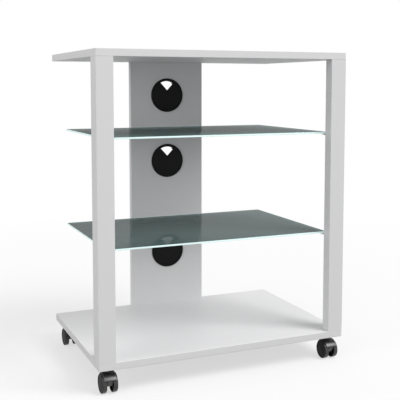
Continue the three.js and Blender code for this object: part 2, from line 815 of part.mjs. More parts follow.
// A wheel is a domed cup round a hub, ribbed inside. It lies along +X, with zero midway
// between the two wheels of its caster.
function makeWheel() {
  const shoulder = wheelOuter - wheelEdgeRound;
  const face = wheelOuter - wheelRimStep;
  const discInner = face - wheelDiscThickness;
  const boreEnd = axleEnd + axleEndGap;
  const treadInner = wheelRadius - wheelTreadWall;
  const rimInner = wheelRadius - wheelRimWidth;
  const cup = turned([
    [0, face + wheelDome],
    [rimInner, face],
    [rimInner, wheelOuter],
    [wheelRadius - wheelEdgeRound, wheelOuter],
    [wheelRadius, shoulder],
    [wheelRadius, wheelInner],
    [treadInner, wheelInner],
    [treadInner, discInner],
    [wheelHubRadius, discInner],
    [wheelHubRadius, wheelInner + wheelHubRecess],
    [axleRadius + axleFit, wheelInner + wheelHubRecess],
    [axleRadius + axleFit, boreEnd],
    [0, boreEnd],
  ], wheelFacets);
  cup.rotateZ(-Math.PI / 2);
  const ribMiddle = (wheelHubRadius + treadInner) / 2;
  const ribReach = (treadInner - wheelHubRadius) / 2 + wheelHubRecess;
  const ribInner = wheelInner + wheelHubRecess;
  const ribs = Array.from({ length: wheelRibCount }, (_, i) => {
    const rib = new THREE.BoxGeometry(discInner - ribInner, 2 * ribReach, wheelRibThickness);
    rib.translate((discInner + ribInner) / 2, ribMiddle, 0);
    rib.rotateX((2 * Math.PI * (i + 1 / 2)) / wheelRibCount);
    return solidOf(rib);
  });
  return geometryOf(joined(solidOf(cup), ...ribs));
}

for (const { name, x, y } of casters) {
  const caster = new THREE.Group();
  caster.position.set(x, y, 0);
  addPiece(`${name}_caster_plate`, makeCasterPlate(), finish.zincSteel, caster);
  addPiece(`${name}_caster_housing`, makeCasterHousing(), finish.blackPlastic, caster);
  addPiece(`${name}_axle`, makeAxle(), finish.zincSteel, caster).position.set(0, axleY, wheelRadius);
  const turns = { outer: x < 0 ? Math.PI : 0, inner: x < 0 ? 0 : Math.PI };
  for (const [place, turn] of Object.entries(turns)) {
    const wheel = addPiece(`${name}_${place}_wheel`, makeWheel(), finish.blackPlastic, caster);
    wheel.position.set(0, axleY, wheelRadius);
    wheel.rotation.z = turn;
  }
  rack.add(caster);
}

export default rack;
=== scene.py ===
# %% [markdown]
# # An audio equipment rack
# The rack has white coated boards, two front posts, a broad back column with three round cable
# grommets, two glass shelves and four twin-wheel casters. Its CAD model is already right in size
# and place. This lesson gives it the finishes that the real one has, and makes the glass and the
# round plastic and metal parts again as smooth surfaces.

# %% Load the model
import json
import math

import bmesh
import bpy
import numpy as np
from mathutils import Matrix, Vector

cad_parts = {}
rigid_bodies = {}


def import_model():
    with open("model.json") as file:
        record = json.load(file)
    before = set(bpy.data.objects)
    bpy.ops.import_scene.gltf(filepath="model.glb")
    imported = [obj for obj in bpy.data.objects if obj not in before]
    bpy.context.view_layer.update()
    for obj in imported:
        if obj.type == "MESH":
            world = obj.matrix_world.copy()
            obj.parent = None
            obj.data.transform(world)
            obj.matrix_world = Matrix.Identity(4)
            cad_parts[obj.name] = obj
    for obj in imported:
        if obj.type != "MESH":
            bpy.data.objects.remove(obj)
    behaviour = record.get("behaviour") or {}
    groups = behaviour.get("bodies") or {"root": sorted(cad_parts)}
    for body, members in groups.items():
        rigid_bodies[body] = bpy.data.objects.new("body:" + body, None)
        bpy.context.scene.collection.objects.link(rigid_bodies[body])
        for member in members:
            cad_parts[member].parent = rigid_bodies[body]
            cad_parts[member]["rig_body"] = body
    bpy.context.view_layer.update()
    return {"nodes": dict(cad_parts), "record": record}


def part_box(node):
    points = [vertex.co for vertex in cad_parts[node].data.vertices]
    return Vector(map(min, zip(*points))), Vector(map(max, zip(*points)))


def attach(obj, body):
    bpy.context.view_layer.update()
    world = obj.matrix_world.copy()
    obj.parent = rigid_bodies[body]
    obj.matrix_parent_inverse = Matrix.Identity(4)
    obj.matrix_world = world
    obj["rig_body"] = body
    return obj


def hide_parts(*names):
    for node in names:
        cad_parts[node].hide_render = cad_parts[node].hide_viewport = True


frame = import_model()
nodes = frame["nodes"]
slot_of = {part["node"]: part["material_slot"] for part in frame["record"]["subparts"]}
MM = 0.001

# %% [markdown]
# ## The camera
# The rack is seen from the left, from just below the height of its top. A long lens keeps its
# proportions. The view is shifted down a little, which takes in the feet while the camera stays
# nearly level, so that the posts stay upright in the picture. The camera could be placed by eye,
# but its numbers come from a fit to edges that were measured in a photograph.

# %% Camera
camera_data = bpy.data.cameras.new("camera")
camera_data.sensor_width = 36
camera_data.lens = 69.56
camera_data.shift_y = -0.12
camera = bpy.data.objects.new("camera", camera_data)
camera.location = (-0.7250, -1.7293, 0.6553)
camera.rotation_euler = (math.radians(90 - 4.958), 0, math.radians(-23.200))
bpy.context.scene.collection.objects.link(camera)
bpy.context.scene.camera = camera
bpy.context.scene.view_settings.view_transform = "Standard"
print("camera", tuple(round(v, 3) for v in camera.location))

# %% [markdown]
# ## Shader maths as plain expressions
# A material is a board of nodes joined by wires. Drawn by hand it soon becomes a tangle, so a
# small class wraps a socket and lets it be added, multiplied and compared in ordinary Python. Each
# expression lays down its own Math nodes.

# %% Wires
class Wire:
    """A node's output that takes part in sums and products."""

    def __init__(self, recipe, socket):
        self.recipe, self.socket = recipe, socket

    def math(self, operation, *values):
        inputs = dict(enumerate(values))
        return self.recipe.add("ShaderNodeMath", {"operation": operation}, inputs)

    def __add__(self, other): return self.math("ADD", self, other)
    def __radd__(self, other): return self.math("ADD", other, self)
    def __sub__(self, other): return self.math("SUBTRACT", self, other)
    def __rsub__(self, other): return self.math("SUBTRACT", other, self)
    def __mul__(self, other): return self.math("MULTIPLY", self, other)
    def __rmul__(self, other): return self.math("MULTIPLY", other, self)
    def __truediv__(self, other): return self.math("DIVIDE", self, other)
    def __pow__(self, other): return self.math("POWER", self, other)
    def __lt__(self, other): return self.math("LESS_THAN", self, other)
    def __gt__(self, other): return self.math("GREATER_THAN", self, other)
    def __abs__(self): return self.math("ABSOLUTE", self)
    def least(self, other): return self.math("MINIMUM", self, other)
    def most(self, other): return self.math("MAXIMUM", self, other)

    def parts(self):
        """All outputs of the node that this wire comes from."""
        return [Wire(self.recipe, socket) for socket in self.socket.node.outputs]


print("wires ready")

# %% Recipes
class Recipe:
    """The nodes of one material or of the world: its main shader and all that feeds it."""

    def __init__(self, owner):
        owner.use_nodes = True
        self.owner = owner
        self.nodes, self.links = owner.node_tree.nodes, owner.node_tree.links
        self.output = next(
            node for node in self.nodes if node.bl_idname.startswith("ShaderNodeOutput"))
        self.shader = self.output.inputs["Surface"].links[0].from_node

    def give(self, socket, value):
        """Joins a wire to a socket, or sets the socket's own value."""
        if isinstance(value, Wire):
            self.links.new(value.socket, socket)
        elif isinstance(value, tuple) and len(value) == 3 and socket.type == "RGBA":
            socket.default_value = (*value, 1)
        else:
            socket.default_value = value

    def add(self, kind, settings=None, inputs=None, output=0):
        """Adds a node of any kind: its settings first, then values or wires for its inputs."""
        node = self.nodes.new(kind)
        for key, value in (settings or {}).items():
            setattr(node, key, value)
        for key, value in (inputs or {}).items():
            self.give(node.inputs[key], value)
        return Wire(self, node.outputs[output])

    def surface(self, **values):
        """Sets the main shader's own sockets, named with underscores for spaces."""
        for key, value in values.items():
            self.give(self.shader.inputs[key.replace("_", " ")], value)
        return self.owner


def finish(name):
    """An empty recipe for a new material."""
    return Recipe(bpy.data.materials.new(name))


print("recipes ready")

# %% Patterns that the finishes share
def place(recipe):
    """The point's place on its own object."""
    return recipe.add("ShaderNodeTexCoord", output="Object")


def xyz(recipe, vector):
    """The three parts of a vector, as wires."""
    return recipe.add("ShaderNodeSeparateXYZ", inputs={"Vector": vector}).parts()


def facing(recipe):
    """The surface's own direction, as three wires."""
    return xyz(recipe, recipe.add("ShaderNodeNewGeometry", output="Normal"))


def noise(recipe, at, scale, detail=2, rough=0.5):
    """Soft noise from 0 to 1: a larger scale is finer, and detail adds smaller layers to it."""
    values = {"Vector": at, "Scale": scale, "Detail": detail, "Roughness": rough}
    return recipe.add("ShaderNodeTexNoise", inputs=values)


def blend(recipe, share, first, second):
    """A colour that runs from the first to the second as the share goes from 0 to 1.

    A Mix node keeps a set of sockets for each kind of value; 6 and 7 are its two colours.
    """
    return recipe.add("ShaderNodeMix", {"data_type": "RGBA"}, {0: share, 6: first, 7: second}, 2)


def relief(recipe, height, depth, strength=1.0):
    """Turns a height from 0 to 1 into small hills of that depth in metres."""
    values = {"Height": height, "Distance": depth, "Strength": strength}
    return recipe.add("ShaderNodeBump", inputs=values)


print("patterns ready")

# %% [markdown]
# ## White coated boards
# The boards, posts and column are particle board under a white melamine foil. The foil is satin,
# with a very fine pebbled grain, and each cut edge wears a thin plastic band whose joint shows as a
# hairline. The holes behind the grommets are cut after coating, so their walls show raw chips. A
# picture of the foil could be wrapped round each board, but its size would change from piece to
# piece. Here the pattern is worked out from where a point lies, so it has one scale everywhere.

# %% Colours and sizes of the foil
FOIL = (0.77, 0.77, 0.777)
BAND = (0.775, 0.775, 0.78)
HAIRLINE = (0.42, 0.42, 0.43)
BAND_THICK, HAIRLINE_HALF = 1.0 * MM, 0.12 * MM
MOTTLE_SCALE, SPECK_SCALE, CHIP_SCALE, GRAIN_SCALE = 9, 420, 900, 1700
GRAIN_DEPTH = 0.03 * MM
CHIP_LIGHT = (0.62, 0.47, 0.30)
CHIP_DARK = (0.30, 0.19, 0.10)
HOLE_RADIUS, WALL_REACH = 40 * MM, 0.5 * MM
ring_boxes = {level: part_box(f"{level}_grommet_ring") for level in ("lower", "middle", "upper")}
grommet_heights = {level: (low.z + high.z) / 2 for level, (low, high) in ring_boxes.items()}
print("grommets at", {level: round(z, 4) for level, z in grommet_heights.items()})

# %% White foil
def white_foil(name, thin_axis, spans, holes=()):
    """White melamine on a panel. Spans give the half width along an axis that has a banded edge.

    The distance to the nearest banded edge is the half width less the absolute place, and the
    hairline lies where that distance is the band's thickness, on the two broad faces only. A
    hole's wall is where the distance from the hole's middle is its radius.
    """
    recipe = finish(name)
    at = place(recipe)
    here = xyz(recipe, at)
    normal = facing(recipe)
    broad = abs(normal[thin_axis]) > 0.7
    margins = [span - abs(here[axis]) for axis, span in spans.items()]
    margin = margins[0] if len(margins) == 1 else margins[0].least(margins[1])
    hairline = (abs(margin - BAND_THICK) < HAIRLINE_HALF) * broad
    mottle = noise(recipe, at, MOTTLE_SCALE, 3)
    grain = noise(recipe, at, GRAIN_SCALE, 2, 0.6)
    speck = noise(recipe, at, SPECK_SCALE, 1)
    colour = blend(recipe, mottle * 0.35, FOIL, tuple(0.97 * c for c in FOIL))
    colour = blend(recipe, broad, BAND, colour)
    colour = blend(recipe, hairline * 0.55, colour, HAIRLINE)
    rough = 0.40 + 0.10 * grain + 0.05 * mottle
    height = grain * 0.7 + speck * 0.3
    if holes:
        away = [(here[0] ** 2 + (here[2] - z) ** 2) ** 0.5 for z in holes]
        walls = [abs(radius - HOLE_RADIUS) < WALL_REACH for radius in away]
        raw = walls[0].most(walls[1]).most(walls[2]) * (1 - broad)
        cells = {"Vector": at, "Scale": CHIP_SCALE}
        flake = recipe.add("ShaderNodeTexVoronoi", {}, cells, "Color")
        chips = blend(recipe, xyz(recipe, flake)[0], CHIP_DARK, CHIP_LIGHT)
        colour = blend(recipe, raw, colour, chips)
        rough = rough + raw * 0.4
    return recipe.surface(
        Base_Color=colour, Roughness=rough, Normal=relief(recipe, height, GRAIN_DEPTH, 0.35),
        Specular_IOR_Level=0.45)


print("white foil ready")

# %% Boards, posts and column
def put_on(material, *names):
    """Gives CAD pieces their finish. The boards, posts and column keep their CAD shape."""
    for name in names:
        nodes[name].data.materials.clear()
        nodes[name].data.materials.append(material)


board_foil = white_foil("white_foil_board", 2, {0: 300 * MM, 1: 200 * MM})
column_foil = white_foil("white_foil_column", 1, {0: 100 * MM}, [*grommet_heights.values()])
post_foil = white_foil("white_foil_post", 1, {0: 300 * MM})
put_on(board_foil, "top_board", "bottom_board")
put_on(column_foil, "back_column")
put_on(post_foil, "left_front_post", "right_front_post")
print("white foil on 5 pieces")

# %% [markdown]
# ## Glass
# The shelves are clear float glass four millimetres thick. Seen flat on it is nearly invisible, but
# along its surface the iron in it adds up to a dark grey green, and its polished edges gather light
# and shine a pale cyan. A full simulation of light inside a thin plate is slow and noisy. So the
# plate is a thin film that grows denser towards a grazing view, under a clear coat for its gloss.
# The light that the rim would gather is painted on: a bright pale cyan and a faint painted glow.

# %% Glass finish
FILM_FLAT, FILM_GRAZING, FILM_POWER, FILM_MOST = 0.14, 0.98, 2.2, 0.9
# The rim's colour is the glass's cyan tint made bright with painted light, and its emission is a
# painted glow.
RIM_FILM, RIM_TINT_AND_PAINTED_LIGHT, RIM_PAINTED_GLOW = 0.93, (0.80, 0.96, 0.95), (0.22, 0.30, 0.30)
GLASS_DEEP, GLASS_CLEAR = (0.075, 0.115, 0.112), (0.10, 0.145, 0.14)
glass = finish("shelf_glass")
glass_rim = abs(facing(glass)[2]) < 0.8
grazing = glass.add("ShaderNodeLayerWeight", {}, {"Blend": 0.5}, "Facing")
film = (FILM_FLAT + FILM_GRAZING * grazing ** FILM_POWER).least(FILM_MOST)
streaks = noise(glass, place(glass), 14, 2)
glass_body = blend(glass, streaks * 0.5, GLASS_DEEP, GLASS_CLEAR)
# Painted light on the rim: its colour is brightened and its emission adds a painted glow.
glass_tint_and_painted_rim = blend(glass, glass_rim, glass_body, RIM_TINT_AND_PAINTED_LIGHT)
painted_rim_glow = blend(glass, glass_rim, (0.0, 0.0, 0.0), RIM_PAINTED_GLOW)
glass_material = glass.surface(
    Base_Color=glass_tint_and_painted_rim, Roughness=0.06 + 0.02 * streaks,
    Alpha=film * (1 - glass_rim) + RIM_FILM * glass_rim,
    Emission_Color=painted_rim_glow, Emission_Strength=1.0,
    Specular_IOR_Level=0.0, Coat_Weight=0.19 + 0.27 * glass_rim, Coat_Roughness=0.02, Coat_IOR=1.5)
print("glass finish ready")

# %% [markdown]
# ## Plastics and metals
# The grommets are moulded with a fine matt grain. The caster hoods are nylon with a soft gloss, and
# the wheels are duller, with treads that are scuffed where they roll. The shelf supports are bright
# nickel, the hidden fittings are zinc-plated steel, and each support carries a clear pad. One flat
# colour would look like paper. Fine noise in the gloss and the relief makes each one a material.

# %% Plastic finishes
GROMMET_BLACK = (0.0026, 0.0026, 0.0029)
HOOD_BLACK = (0.008, 0.008, 0.009)
WHEEL_BLACK = (0.009, 0.009, 0.010)
SCUFF_GREY = (0.060, 0.058, 0.054)
FLOW_SCALE, SCUFF_SCALE = 45, 260


def black_plastic(name, shade, rough, grain_scale, grain_depth, shine, polish=0.0, scuffs=None):
    """Moulded black plastic: a fine grain, and slow changes in gloss from the mould.

    Shine is how strongly it mirrors, and polish adds a soft clear coat over it. Scuffs name an
    attribute of the piece: where it is 1, patches of noise are greyer and rougher.
    """
    recipe = finish(name)
    at = place(recipe)
    grain = noise(recipe, at, grain_scale, 3, 0.6)
    flow = noise(recipe, at, FLOW_SCALE, 2)
    colour = blend(recipe, flow * 0.6, shade, tuple(1.5 * c for c in shade))
    rough = rough + 0.08 * grain + 0.06 * flow
    if scuffs:
        there = recipe.add("ShaderNodeAttribute", {"attribute_name": scuffs}, {}, "Fac")
        polish = polish * there
        worn = there * noise(recipe, at, SCUFF_SCALE, 3, 0.7)
        colour = blend(recipe, worn, colour, SCUFF_GREY)
        rough = rough + 0.3 * worn
    return recipe.surface(
        Base_Color=colour, Roughness=rough, Normal=relief(recipe, grain, grain_depth, 0.5),
        Specular_IOR_Level=shine, Coat_Weight=polish, Coat_Roughness=0.20)


grommet_black = black_plastic("grommet_plastic", GROMMET_BLACK, 0.46, 2300, 0.05 * MM, 0.17)
caster_black = black_plastic("caster_plastic", HOOD_BLACK, 0.42, 900, 0.012 * MM, 0.70, 0.40)
wheel_black = black_plastic(
    "wheel_plastic", WHEEL_BLACK, 0.44, 1300, 0.03 * MM, 0.12, 0.80, scuffs="tread")
print("3 black plastics")

# %% Metal and pad finishes
BRUSH_SCALE, CLOUD_SCALE, PAD_SCALE = 300, 120, 500


def plated_steel(name, colour, base_rough, brush):
    """Plated metal: fine brushing drawn out along one axis, with faint clouding."""
    recipe = finish(name)
    at = place(recipe)
    mapping = recipe.add("ShaderNodeMapping", {}, {"Vector": at, "Scale": brush})
    lines = noise(recipe, mapping, BRUSH_SCALE, 2)
    cloud = noise(recipe, at, CLOUD_SCALE, 2)
    dark = tuple(0.86 * c for c in colour)
    return recipe.surface(
        Base_Color=blend(recipe, cloud, dark, colour), Metallic=1.0,
        Roughness=base_rough + 0.12 * lines + 0.06 * cloud,
        Normal=relief(recipe, lines, 0.01 * MM, 0.4))


nickel = plated_steel("nickel", (0.74, 0.73, 0.71), 0.16, (1, 1, 8))
zinc = plated_steel("zinc_steel", (0.66, 0.67, 0.69), 0.27, (1, 8, 1))
pad = finish("clear_pad")
pad_cloud = noise(pad, place(pad), PAD_SCALE, 2)
clear_pad = pad.surface(
    Base_Color=blend(pad, pad_cloud, (0.78, 0.82, 0.82), (0.88, 0.91, 0.91)),
    Roughness=0.30 + 0.15 * pad_cloud, Alpha=0.62, IOR=1.45)
material_of = {
    "grommet_plastic": grommet_black, "caster_plastic": caster_black, "nickel": nickel,
    "zinc_steel": zinc, "clear_pad": clear_pad, "shelf_glass": glass_material,
}
for name, slot in slot_of.items():
    if slot in material_of:
        put_on(material_of[slot], name)
print("metals and pads ready")

# %% [markdown]
# ## Surfaces from grids
# Every new piece is one or more grids of points. Blender's own cylinders and cubes would do for a
# blank, but not for a moulded or pressed part. A grid is worked out as a whole array from a
# formula, and neighbouring points are joined by four-sided faces. Seams and poles, where points
# coincide, are merged at the end, and the edges that should look crisp are marked by their angle.
# From here on sizes are in millimetres, and each piece is turned into metres when it is made.

# %% Grid helpers
def grid(points, round_rows=False, round_columns=True):
    """Joins an array of rows x columns x 3 points into faces; a round side meets its start.

    The face at (i, j) joins that point with its neighbours at (i, j+1), (i+1, j+1) and (i+1, j).
    """
    rows, columns = points.shape[:2]
    i, j = np.meshgrid(
        np.arange(rows - (not round_rows)), np.arange(columns - (not round_columns)), indexing="ij")
    below, beside = (i + 1) % rows, (j + 1) % columns
    corners = [i * columns + j, i * columns + beside, below * columns + beside, below * columns + j]
    return points.reshape(-1, 3), np.stack(corners, -1).reshape(-1, 4)


def lid(ring):
    """One flat face over a closed ring of points."""
    return ring, np.arange(len(ring))[None]


def capped(wall):
    """A tube through closed outlines, with a lid on both ends."""
    return [grid(wall), lid(wall[0]), lid(wall[-1])]


print("grid helpers ready")

# %% From sheets to a piece
MERGE = 0.0005


def make_piece(name, sheets, material, node, crisp=32):
    """Merges sheets of points in millimetres into one closed mesh.

    The piece replaces a CAD node and rides on the node's body. Edges that turn by more than crisp
    degrees stay sharp, and the rest are shaded as round.
    """
    points, faces, start = [], [], 0
    for sheet_points, sheet_faces in sheets:
        points.append(sheet_points)
        faces += (sheet_faces + start).tolist()
        start += len(sheet_points)
    mesh = bpy.data.meshes.new(name)
    mesh.from_pydata((np.concatenate(points) * MM).tolist(), [], faces)
    work = bmesh.new()
    work.from_mesh(mesh)
    bmesh.ops.remove_doubles(work, verts=work.verts, dist=MERGE * MM)
    bmesh.ops.recalc_face_normals(work, faces=work.faces)
    work.to_mesh(mesh)
    work.free()
    mesh.polygons.foreach_set("use_smooth", np.ones(len(mesh.polygons), bool))
    mesh.set_sharp_from_angle(angle=math.radians(crisp))
    mesh.materials.append(material)
    piece = bpy.data.objects.new(name, mesh)
    bpy.context.scene.collection.objects.link(piece)
    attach(piece, nodes[node]["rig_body"])
    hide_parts(node)
    return piece


print("points closer than", MERGE, "mm are merged")

# %% Softened lines
def soften(corners, radii, closed=False, steps=4):
    """Rounds the corners of a line. A corner becomes a curve between two points on its arms.

    For t from 0 to 1 the curve is (1-t)^2 * enter + 2t(1-t) * corner + t^2 * leave, where enter
    and leave lie one radius away along the arms, or half way if an arm is short.
    """
    corner = np.asarray(corners, float)
    reach = np.broadcast_to(np.asarray(radii, float), len(corner))[:, None]
    arm_in, arm_out = np.roll(corner, 1, 0) - corner, np.roll(corner, -1, 0) - corner
    long_in = np.linalg.norm(arm_in, axis=1, keepdims=True).clip(1e-9)
    long_out = np.linalg.norm(arm_out, axis=1, keepdims=True).clip(1e-9)
    enter = (corner + arm_in * np.minimum(reach / long_in, 0.5))[:, None]
    leave = (corner + arm_out * np.minimum(reach / long_out, 0.5))[:, None]
    t = np.linspace(0, 1, steps + 1)[None, :, None]
    curves = (1 - t) ** 2 * enter + 2 * t * (1 - t) * corner[:, None] + t ** 2 * leave
    if closed:
        return curves.reshape(-1, corner.shape[1])
    return np.concatenate([corner[:1], curves[1:-1].reshape(-1, corner.shape[1]), corner[-1:]])


def quarter_round(radius, steps=4):
    """A rounded edge from its face to its side, with a the angle from 0 to a right angle.

    It is drawn in by radius * (1 - sin a) at a distance of radius * (1 - cos a) from the face.
    """
    turn = np.linspace(0, np.pi / 2, steps + 1)
    return radius * (1 - np.sin(turn)), radius * (1 - np.cos(turn))


print("a round edge of 1 mm is drawn in by", quarter_round(1.0)[0].round(2))

# %% Rings and plates
def along(axis, centre, across, up, far):
    """Puts a turned shape on an axis: across and up are its two sides, far its length."""
    order = {"x": (far, across, up), "y": (across, far, up), "z": (across, up, far)}[axis]
    return np.stack(np.broadcast_arrays(*order), -1) + np.asarray(centre, float)


def full_turn(steps):
    """Even angles once round, without the last one, which would meet the first."""
    return np.linspace(0, 2 * np.pi, steps, endpoint=False)


def polar(axis, centre, radius, angle, far):
    """Points round an axis: across = r cos a, up = r sin a."""
    return along(axis, centre, radius * np.cos(angle), radius * np.sin(angle), far)


def lathe(axis, centre, profile, turns=96, closed=False):
    """Turns a profile of (radius, far) round an axis: each of its points runs through a circle."""
    radius, far = np.asarray(profile, float).T[:, :, None]
    return grid(polar(axis, centre, radius, full_turn(turns), far), closed)


def rounded_box(half_x, half_y, radius, steps=8):
    """The outline of a box, anticlockwise, with its four corners softened."""
    corners = [(-half_x, -half_y), (half_x, -half_y), (half_x, half_y), (-half_x, half_y)]
    return soften(corners, radius, closed=True, steps=steps)


def slab(outline_at, edge):
    """A flat plate: its outline, drawn in by the edge's first value, at each of its heights."""
    return capped(np.stack([np.insert(outline_at(inset), 2, z, 1) for inset, z in edge]))


print("rings and plates ready")

# %% [markdown]
# ## Glass shelves
# Each shelf is a plate with rounded corners. Its polished edge has a small arris above and below. A
# cube with a Bevel modifier comes close, but rounds its corners and arrises alike. A row of
# outlines that shrink towards the two faces gives each its own radius.

# %% Make the shelves
ARRIS, GLASS_CORNER = 0.5, 4.0


def glass_plate(level):
    """A slab as large as the shelf, with an arris along its lower and its upper edge."""
    node = f"{level}_glass_shelf"
    low, high = (np.array(corner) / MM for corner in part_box(node))
    middle, half = (low + high)[:2] / 2, (high - low)[:2] / 2
    inset, up = quarter_round(ARRIS)
    edge = [*zip(inset, low[2] + up), *zip(inset[::-1], high[2] - up[::-1])]

    def outline(inset):
        return rounded_box(*(half - inset), GLASS_CORNER - inset) + middle

    return make_piece(f"{level}_glass_plate", slab(outline, edge), glass_material, node, 60)


for level in ("lower", "upper"):
    shelf = glass_plate(level)
    print(shelf.name, len(shelf.data.polygons), "faces")

# %% [markdown]
# ## Cable grommets
# A grommet is a flanged ring pressed into the column, with a cap that snaps inside and turns. The
# cap has a wedge cut out of its top for the cables. A Boolean would cut it, but leaves ragged
# faces that shade badly. Seen from the middle, the cap's outline is a circle except in the notch,
# where it follows the wedge's two straight sides. So the disc is a polar grid whose radius depends
# on the angle, and its edges stay clean.

# %% Ring
FRONT = 184.0
FLANGE_RADIUS, FLANGE_THICK = 44.0, 3.0
SEAT_RADIUS, SEAT_DEPTH = 38.8, 0.8
BARREL_INNER, BARREL_OUTER, BARREL_DEEP = 37.0, 39.6, 11.5


def grommet_ring(level, height):
    """The flanged ring, a closed profile of (radius, depth) turned round the Y axis."""
    profile = soften(
        [(FLANGE_RADIUS, 0), (FLANGE_RADIUS, -FLANGE_THICK), (SEAT_RADIUS, -FLANGE_THICK),
         (SEAT_RADIUS, -SEAT_DEPTH), (BARREL_INNER, -SEAT_DEPTH), (BARREL_INNER, BARREL_DEEP),
         (BARREL_OUTER, BARREL_DEEP), (BARREL_OUTER, 0)],
        [0.2, 1.9, 0.35, 0.1, 0.2, 0.3, 0.3, 0.1], closed=True)
    sheets = [lathe("y", (0, FRONT, height), profile, 128, closed=True)]
    return make_piece(f"{level}_grommet_flange", sheets, grommet_black, f"{level}_grommet_ring", 40)


for level, height in grommet_heights.items():
    print(grommet_ring(level, height / MM).name)

# %% Notch
APEX, WEDGE = 13.0, math.radians(43)
CAP_RADIUS = 38.4


def notch_angle(radius):
    """The angle from upright at which a circle of this radius meets the wedge's side.

    It is wedge - arcsin(apex * sin(wedge) / radius), by the law of sines.
    """
    return WEDGE - np.arcsin(APEX * np.sin(WEDGE) / radius)


def cap_outline(angle, radius):
    """Distance from the middle to the cap's edge: the wedge's side inside the notch, else the rim.

    The side is at apex * sin(wedge) / sin(wedge - off), with off the angle from upright.
    """
    off = np.abs((angle + np.pi) % (2 * np.pi) - np.pi)
    safe = np.minimum(off, WEDGE - 0.02)
    side = APEX * np.sin(WEDGE) / np.sin(WEDGE - safe)
    return np.where(off < notch_angle(radius), np.minimum(side, radius), radius)


print("half the notch takes up", round(math.degrees(notch_angle(CAP_RADIUS)), 1), "degrees")

# %% Disc of a cap
CAP_FRONT = -2.7


def upright(height, angle, radius, depth):
    """Polar points on the column's front: across = r sin a, up = r cos a."""
    return along("y", (0, FRONT, height), radius * np.sin(angle), radius * np.cos(angle), depth)


def cap_disc(height):
    """Rings of share * outline + inset, from the middle of the front to the middle of the back."""
    start = notch_angle(CAP_RADIUS)
    angle = np.concatenate([
        np.linspace(-start, start, 25), np.linspace(start, 2 * np.pi - start, 121)[1:-1]])
    rings = [(0, 0, CAP_FRONT), (0.5, 0, CAP_FRONT), (1, -0.9, CAP_FRONT), (1, -0.45, -2.6),
             (1, -0.12, -2.3), (1, 0, -1.9), (1, 0, -1.0), (1, -0.2, -SEAT_DEPTH),
             (0.5, 0, -SEAT_DEPTH), (0, 0, -SEAT_DEPTH)]
    share, inset, depth = np.array(rings).T[:, :, None]
    return upright(height, angle, share * cap_outline(angle, CAP_RADIUS) + inset, depth)


print("the disc has", cap_disc(0).shape[:2], "points")

# %% Caps
SKIRT_OUTER, SKIRT_INNER, SNAP_RADIUS = 36.6, 34.8, 37.8


def cap_skirt(height):
    """A profile carried round from one side of the notch to the other.

    Each radius has its own sweep, begin + (full turn - 2 * begin) * share, where begin is the
    angle at which it meets the wedge.
    """
    skirt = soften(
        [(SKIRT_OUTER, -1.2), (SKIRT_OUTER, 11.9), (SNAP_RADIUS, 11.9), (SKIRT_OUTER, 13.1),
         (SKIRT_INNER, 13.1), (SKIRT_INNER, -1.2)],
        [0.05, 0.1, 0.15, 0.2, 0.3, 0.05], closed=True, steps=2)
    begin = notch_angle(skirt[:, 0])
    sweep = begin + (2 * np.pi - 2 * begin) * np.linspace(0, 1, 97)[:, None]
    return upright(height, sweep, skirt[:, 0], skirt[:, 1])


def grommet_cap(level, height):
    """The notched disc with the skirt behind it, which snaps into the ring's barrel."""
    sheets = [grid(cap_disc(height)), *capped(cap_skirt(height))]
    return make_piece(f"{level}_grommet_disc", sheets, grommet_black, f"{level}_grommet_cap", 40)


for level, height in grommet_heights.items():
    print(grommet_cap(level, height / MM).name)

# %% [markdown]
# ## Casters
# A furniture caster is a short axle with a wheel on each end, under a hood that turns on an upright
# pin. Such parts could be sculpted from cylinders, but both are plain formulas. The wheel is a
# profile turned round the axle, with ribs inside. The hood is one cross-section carried round the
# axle through part of a circle, and drawn in a little at both ends so that they look moulded and
# not sawn off. Under its front lip a solid nose fills the gap between the wheels. The wheel also
# stores where its tread is, for the scuffs.

# %% Wheel profile
AXLE_BACK, AXLE_UP = -9.0, 21.0
WHEEL_RADIUS, RIM_RADIUS, HUB_RADIUS, BORE_RADIUS = 21.0, 17.8, 6.4, 3.2
WHEEL_OUTER, DISC_INNER, HUB_INNER, WHEEL_INNER = 17.0, 13.8, 7.7, 7.2
DOME_EDGE, DOME_SPAN, DOME_FOOT, DOME_RISE = 15.6, 17.0, 16.2, 1.1


def wheel_profile():
    """Radius and distance from the caster's middle, from the domed face round to the bore.

    The dome's distance at a radius r is foot + rise * (1 - (r / span)^2).
    """
    dome = np.linspace(0, DOME_EDGE, 14)
    face = np.column_stack([dome, DOME_FOOT + DOME_RISE * (1 - (dome / DOME_SPAN) ** 2)])
    rest = soften(
        [face[-1], (16.9, 16.1), (17.1, WHEEL_OUTER), (WHEEL_RADIUS, WHEEL_OUTER),
         (WHEEL_RADIUS, WHEEL_INNER), (RIM_RADIUS, WHEEL_INNER), (RIM_RADIUS, DISC_INNER),
         (HUB_RADIUS, DISC_INNER), (HUB_RADIUS, HUB_INNER), (BORE_RADIUS, HUB_INNER),
         (BORE_RADIUS, 15.2), (0, 15.2)],
        [0, 0.3, 0.4, 1.5, 0.8, 0.3, 0.6, 0.6, 0.3, 0.3, 0.1, 0], steps=4)
    return np.concatenate([face, rest[1:]])


print("the profile has", len(wheel_profile()), "points")

# %% Tread
TREAD_EDGE = 0.6


def mark_tread(piece, centre):
    """Stores the attribute tread, which rises from 0 to 1 over the last of the wheel's radius.

    At a distance r from the axle it is (r - radius) / edge + 1, kept between 0 and 1.
    """
    points = np.empty(len(piece.data.vertices) * 3)
    piece.data.vertices.foreach_get("co", points)
    off = points.reshape(-1, 3) / MM - centre
    share = (np.hypot(off[:, 1], off[:, 2]) - WHEEL_RADIUS) / TREAD_EDGE + 1
    tread = piece.data.attributes.new("tread", "FLOAT", "POINT")
    tread.data.foreach_set("value", share.clip(0, 1))


print("the tread is the last", TREAD_EDGE, "mm of the radius")

